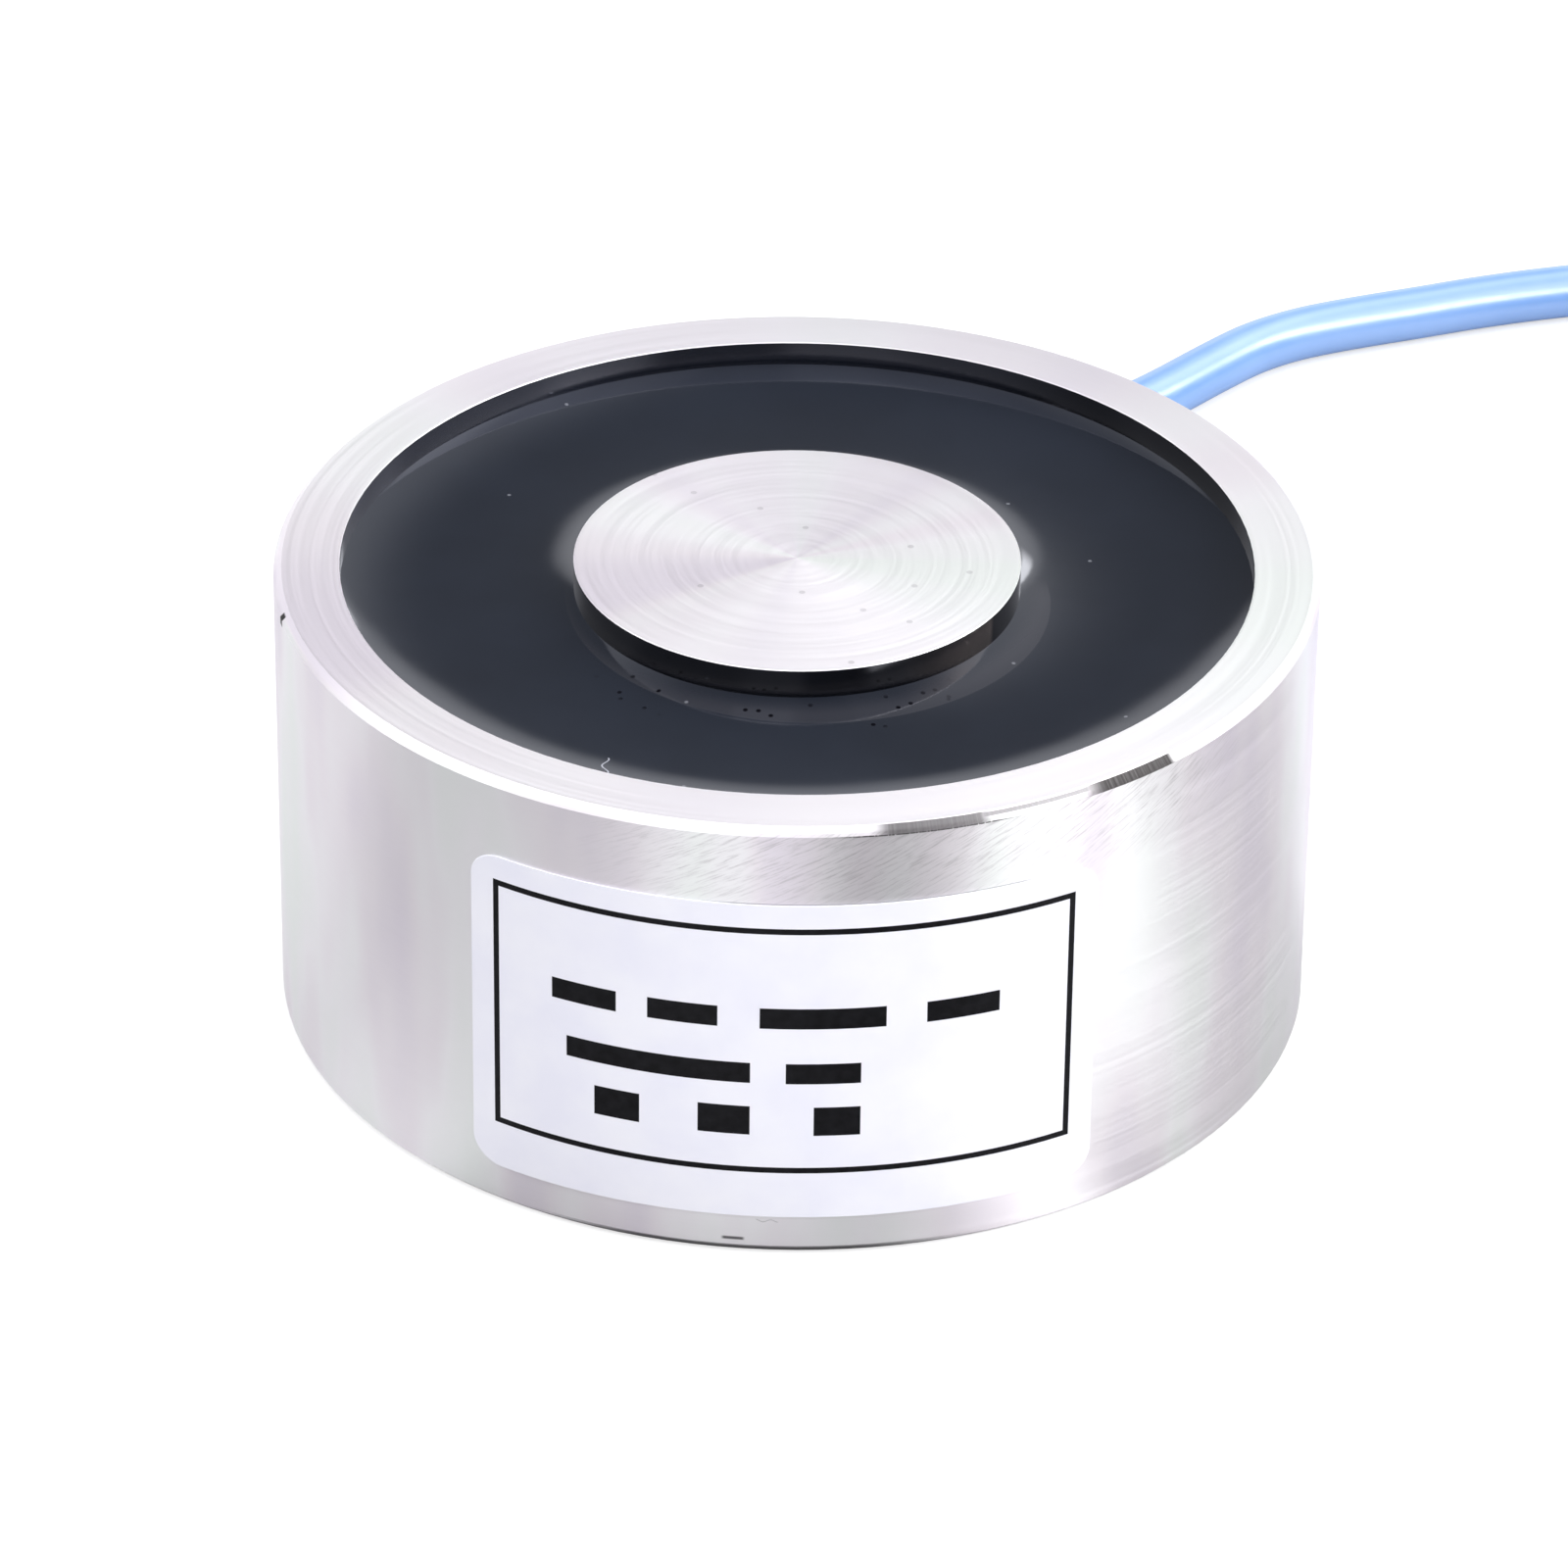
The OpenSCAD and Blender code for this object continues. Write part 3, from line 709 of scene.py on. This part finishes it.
def end_point(side, turned, offset=0.0, lift=0.0):
    """A point on one of the two bared wires, turned degrees on from the jacket's end."""
    ease = smoothstep(turned / END_EASE_DEG)
    radius = INNER_TURN_R - END_CLOSE_IN * ease + side * END_WIRE_HALF_PITCH + offset
    height = COIL_Z + (END_LIE_Z - COIL_Z) * ease + lift
    return about_coil(radius, 90 - JACKET_END_DEG - turned, height)


def spread(start, stop, count):
    return [start + (stop - start) * step / count for step in range(count + 1)]


def end_wire(number, side, material, slot):
    line = [end_point(side, turned) for turned in spread(END_START_DEG, END_STOP_DEG, 40)]
    piece = tube(f"end_wire_{number}_skin", [line], END_WIRE_R, material)
    return dress(piece, slot, f"end_wire_{number}")


def tinned_tip(number, side, material):
    """Seven strands, six of them laid round the middle one."""
    turns = spread(END_STOP_DEG - STRAND_TUCK_DEG, TIP_STOP_DEG, 36)
    lay = TIP_R - STRAND_R
    strands = [[end_point(side, turned) for turned in turns]]
    for strand in range(STRANDS_ROUND):
        line = []
        for turned in turns:
            twist = math.tau * (strand / STRANDS_ROUND + (turned - END_STOP_DEG) / STRAND_TWIST_DEG)
            line.append(end_point(side, turned, lay * math.cos(twist), lay * math.sin(twist)))
        strands.append(line)
    piece = tube(f"tinned_tip_{number}_strands", strands, STRAND_R, material, sides=3)
    return dress(piece, "tinned_copper", f"tinned_tip_{number}")


def tie_loop(material):
    """The tie's band, round both turns of the coil."""
    middle = about_coil((OUTER_TURN_R + INNER_TURN_R) / 2, 0, COIL_Z)
    half_flat = (TIE_ROOM_W - TIE_ROOM_H) / 2
    rings = []
    for end in (1, -1):
        for degrees in range(-90, 91, 15):
            angle = math.radians(degrees)
            outward = Vector((end * math.cos(angle), 0.0, end * math.sin(angle)))
            seat = middle + Vector((end * half_flat, 0.0, 0.0)) + outward * (TIE_ROOM_H / 2)
            ring = []
            for y, rise in TIE_SECTION:
                place = seat + outward * (TIE_T * rise)
                place.y = TIE_Y[0] + (TIE_Y[1] - TIE_Y[0]) * y
                ring.append(place)
            rings.append(ring)
    piece = sweep("tie_loop", rings, material, closed=True, smooth=False)
    return dress(piece, "tie_plastic", "lead_tie")


def tie_twist(material):
    """The tie's two ends, twisted together and laid flat."""
    x = about_coil((OUTER_TURN_R + INNER_TURN_R) / 2, 0, 0).x
    swing = TIE_TWIST_R / 2
    lines = []
    for side in (0.0, 0.5):
        line = []
        for share in spread(0.0, 1.0, 60):
            twist = math.tau * (side + TIE_TWISTS * share)
            y = TIE_Y[1] + (TIE_TWIST_END - TIE_Y[1]) * share
            line.append(Vector((x + swing * math.cos(twist), y, TIE_TWIST_Z + swing * math.sin(twist))))
        lines.append(line)
    piece = tube("tie_twist", lines, swing, material, sides=4)
    return dress(piece, "tie_plastic")


# Details on the magnet
def thread_ridge(material):
    """The tapped hole's thread, as one ridge winding up its bore."""
    turns = THREAD_DEPTH / THREAD_PITCH - THREAD_LEFT_OUT
    rings = []
    for share in spread(0.0, 1.0, round(turns * THREAD_STEPS)):
        angle = math.tau * turns * share
        height = THREAD_START * THREAD_PITCH + turns * THREAD_PITCH * share
        depth = (THREAD_R - THREAD_MINOR_R) * min(1.0, share * THREAD_RUN_OUT, (1 - share) * THREAD_RUN_OUT)
        out = Vector((math.cos(angle), math.sin(angle), 0.0))
        ring = []
        for radius, rise in (
            (THREAD_R + THREAD_SINK, -THREAD_FOOT),
            (THREAD_R - depth, -THREAD_CREST),
            (THREAD_R - depth, THREAD_CREST),
            (THREAD_R + THREAD_SINK, THREAD_FOOT),
        ):
            ring.append(out * radius + Vector((0.0, 0.0, height + rise * THREAD_PITCH)))
        rings.append(ring)
    return dress(sweep("thread_ridge", rings, material, smooth=False), "plated_steel")


# Studio
def place_camera():
    right = Vector((1.0, 0.0, 0.0))
    ahead = Vector((0.0, math.cos(CAMERA_RISE), -math.sin(CAMERA_RISE)))
    up = right.cross(ahead)
    camera = bpy.data.objects.new("camera", bpy.data.cameras.new("camera"))
    camera.data.sensor_width = SENSOR_W_MM
    camera.data.lens = FOCAL_PX / PHOTO_SIDE * SENSOR_W_MM
    camera.data.clip_end = 100.0
    turn = Matrix((right, up, -ahead)).transposed().to_4x4() @ Matrix.Rotation(CAMERA_ROLL, 4, "Z")
    place = CENTRE + right * AIM_RIGHT + up * AIM_UP - ahead * CAMERA_DISTANCE
    camera.matrix_world = Matrix.Translation(place) @ turn
    bpy.context.scene.collection.objects.link(camera)
    bpy.context.scene.camera = camera


def soft_light(name, azimuth, elevation, distance, width, height, strength):
    """An area light aimed at the magnet: azimuth from the camera's side to the right, in degrees."""
    light = bpy.data.lights.new(name, "AREA")
    light.shape = "RECTANGLE"
    light.size = width
    light.size_y = height
    light.energy = strength
    side, rise = math.radians(azimuth), math.radians(elevation)
    away = Vector((math.sin(side) * math.cos(rise), -math.cos(side) * math.cos(rise), math.sin(rise)))
    lamp = bpy.data.objects.new(name, light)
    lamp.location = CENTRE + away * distance
    lamp.rotation_euler = away.to_track_quat("Z", "Y").to_euler()
    bpy.context.scene.collection.objects.link(lamp)


def toned(tree, share, level):
    """From 1 where the share is 0 to the level where it is 1."""
    return remap(tree, share, 0.0, 1.0, 1.0, level)


def front_shade(tree, way, share=1.0):
    """The room and the floor are dimmer beside the camera and far to the right, by a share."""
    shades = []
    for wedge, level in FRONT_SHADES:
        here = overlap(tree, toward(tree, way, *wedge), share)
        shades.append(toned(tree, here, level))
    return overlap(tree, *shades)


def studio_world():
    """A pale room, dim behind and in front, bright at the sides and overhead, and white to the camera."""
    world = bpy.data.worlds.new("studio")
    world.use_nodes = True
    tree = world.node_tree
    tree.nodes.clear()
    way = add(tree, "TexCoord").outputs["Generated"]
    height = add(tree, "SeparateXYZ", {"Vector": way}).outputs["Z"]
    behind = overlap(tree, toward(tree, way, *BACK_WALL), band(tree, height, *BACK_WALL_Z))
    wall = remap(tree, behind, 0.0, 1.0, ROOM_LEVEL, BACK_WALL_LEVEL)
    room_level = overlap(tree, wall, front_shade(tree, way))
    left = calc(tree, "MULTIPLY", toward(tree, way, *LEFT_WING), LEFT_WING_LEVEL)
    right = calc(tree, "MULTIPLY", toward(tree, way, *RIGHT_WING), RIGHT_WING_LEVEL)
    wings = overlap(tree, calc(tree, "ADD", left, right), band(tree, height, *WING_Z))
    low_sky = remap(tree, height, *HORIZON_FADE, HORIZON_LEVEL, 0.0)
    horizon = overlap(tree, toward(tree, way, *HORIZON), low_sky)
    ceiling = overlap(
        tree,
        remap(tree, height, *CEILING_RISE, 0.0, CEILING_LEVEL),
        remap(tree, height, *ZENITH_FADE, 1.0, ZENITH_SHARE),
        rest(tree, behind),
    )
    window = overlap(tree, toward(tree, way, *WINDOW), band(tree, height, *WINDOW_Z), WINDOW_LEVEL)
    lamps = calc(tree, "ADD", calc(tree, "ADD", horizon, ceiling), window)
    level = calc(tree, "ADD", calc(tree, "ADD", room_level, wings), lamps)
    seen = add(tree, "LightPath").outputs["Is Camera Ray"]
    room = add(tree, "Background", {"Color": (0.97, 0.97, 1.0, 1.0), "Strength": level})
    white = add(tree, "Background", {"Color": (1.0, 1.0, 1.0, 1.0), "Strength": 1.0})
    shown = add(tree, "MixShader", {0: seen, 1: room.outputs[0], 2: white.outputs[0]})
    add(tree, "OutputWorld", {"Surface": shown.outputs[0]})
    bpy.context.scene.world = world


def studio_floor():
    """A floor that shows the camera white and a soft shadow; its colour, which reflections and bounced light
    see, is painted with shadow near the magnet, darker wedges and a lighter side.
    """
    material, tree = new_material("floor_paper")
    place = object_place(tree)
    grain = noise(tree, place, scale=300.0, detail=3.0)
    pale = ramp(tree, grain, (0.3, (0.62, 0.62, 0.63)), (0.7, (0.66, 0.66, 0.66)))
    # Painted shadow and light in the floor's colour: darker near the magnet and in wedges, lighter on one side
    near = remap(tree, round_place(tree)[0], SHELL_R, 2 * SHELL_R, 1.0, 0.0)
    away = rest(tree, near)
    near_front_painted_shadow = toned(tree, overlap(tree, near, toward(tree, place, *NEAR_FRONT)), 0.60)
    near_right_painted_shadow = toned(tree, overlap(tree, near, toward(tree, place, *NEAR_RIGHT)), 0.40)
    lit_side = toned(tree, overlap(tree, away, toward(tree, place, *LIT_SIDE)), 1.50)
    far_left_painted_shade = toned(tree, toward(tree, place, *FAR_LEFT), 0.90)
    shade = overlap(tree, front_shade(tree, place, away), near_front_painted_shadow, near_right_painted_shadow, lit_side, far_left_painted_shade)
    paper = add(tree, "BsdfDiffuse", {"Color": blend(tree, shade, (0.0, 0.0, 0.0, 1.0), pale)})
    sheen = add(tree, "BsdfDiffuse", {"Color": (0.45, 0.45, 0.45, 1.0)})
    glow = add(tree, "Emission", {"Color": (1.0, 1.0, 1.0, 1.0), "Strength": FLOOR_GLOW})
    lit = add(tree, "AddShader", {0: sheen.outputs[0], 1: glow.outputs[0]})
    seen = add(tree, "LightPath").outputs["Is Camera Ray"]
    shown = add(tree, "MixShader", {0: seen, 1: paper.outputs[0], 2: lit.outputs[0]})
    add(tree, "OutputMaterial", {"Surface": shown.outputs[0]})
    corners = [(x * FLOOR_HALF, y * FLOOR_HALF, 0.0) for x, y in ((-1, -1), (1, -1), (1, 1), (-1, 1))]
    floor = solid("floor", corners, [(0, 1, 2, 3)], material, smooth=False)
    floor.location.z = -FLOOR_DROP


def studio():
    bpy.context.scene.view_settings.view_transform = "Standard"
    place_camera()
    studio_world()
    studio_floor()
    for name, setting in LAMPS.items():
        soft_light(name, *setting)


# The whole
def paint(nodes, material):
    for node in nodes:
        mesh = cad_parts[node].data
        mesh.materials.clear()
        mesh.materials.append(material)


def smooth_over(node, sharp_degrees=30):
    """Shades a solid smoothly over its facets, and keeps its sharp edges."""
    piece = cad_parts[node]
    piece.modifiers.new("weld", "WELD").merge_threshold = 0.000001
    piece.modifiers.new("split", "EDGE_SPLIT").split_angle = math.radians(sharp_degrees)
    piece.modifiers.new("normals", "WEIGHTED_NORMAL").mode = "FACE_AREA"


def build():
    nickel_shell = turned_nickel("nickel_shell", shell_marks)
    nickel_core = turned_nickel("nickel_core", core_marks)
    blue = plastic("blue_pvc", (0.14, 0.31, 0.66), (0.17, 0.345, 0.70), 0.29, 0.35, 1.9, 0.9, 0.000001)
    red = plastic("red_pvc", (0.50, 0.03, 0.03), (0.62, 0.05, 0.045), 0.22, 0.32)
    black = plastic("black_pvc", (0.018, 0.018, 0.02), (0.03, 0.03, 0.033), 0.25, 0.35)
    tie = plastic("tie_plastic", (0.02, 0.02, 0.022), (0.035, 0.035, 0.038), 0.4, 0.55)
    sleeve = plastic("shrink_sleeve", (0.02, 0.02, 0.022), (0.04, 0.04, 0.042), 0.5, 0.65)
    nylon = plastic("natural_nylon", (0.72, 0.69, 0.60), (0.80, 0.77, 0.69), 0.4, 0.55)
    tape = plastic("polyester_tape", (0.62, 0.42, 0.06), (0.74, 0.52, 0.09), 0.2, 0.35)
    copper = metal("enamelled_copper", (0.48, 0.16, 0.06), (0.66, 0.26, 0.10), 0.25, 0.4)
    tinned = metal("tinned_strand", (0.58, 0.58, 0.60), (0.74, 0.74, 0.75), 0.25, 0.42)
    paint(["pot_shell"], nickel_shell)
    paint(["pole_core"], nickel_core)
    paint(["potting_resin"], cast_resin())
    smooth_over("potting_resin")
    paint(["rating_label"], label_film())
    paint(["bobbin"], nylon)
    paint(["coil_winding", "start_tail", "finish_tail"], copper)
    paint(["winding_tape"], tape)
    paint(["start_splice", "finish_splice"], sleeve)
    paint(["start_wire", "end_wire_1"], red)
    paint(["finish_wire", "end_wire_2"], black)
    paint(["lead_run", "lead_coil"], blue)
    paint(["lead_tie"], tie)
    paint(["tinned_tip_1", "tinned_tip_2"], tinned)
    jacket = lead_jacket(blue)
    wires = [end_wire(1, -1, red, "wire_red"), end_wire(2, 1, black, "wire_black")]
    tips = [tinned_tip(1, -1, tinned), tinned_tip(2, 1, tinned)]
    ties = [tie_loop(tie), tie_twist(tie)]
    thread_ridge(nickel_core)


studio()
build()
bpy.context.view_layer.update()
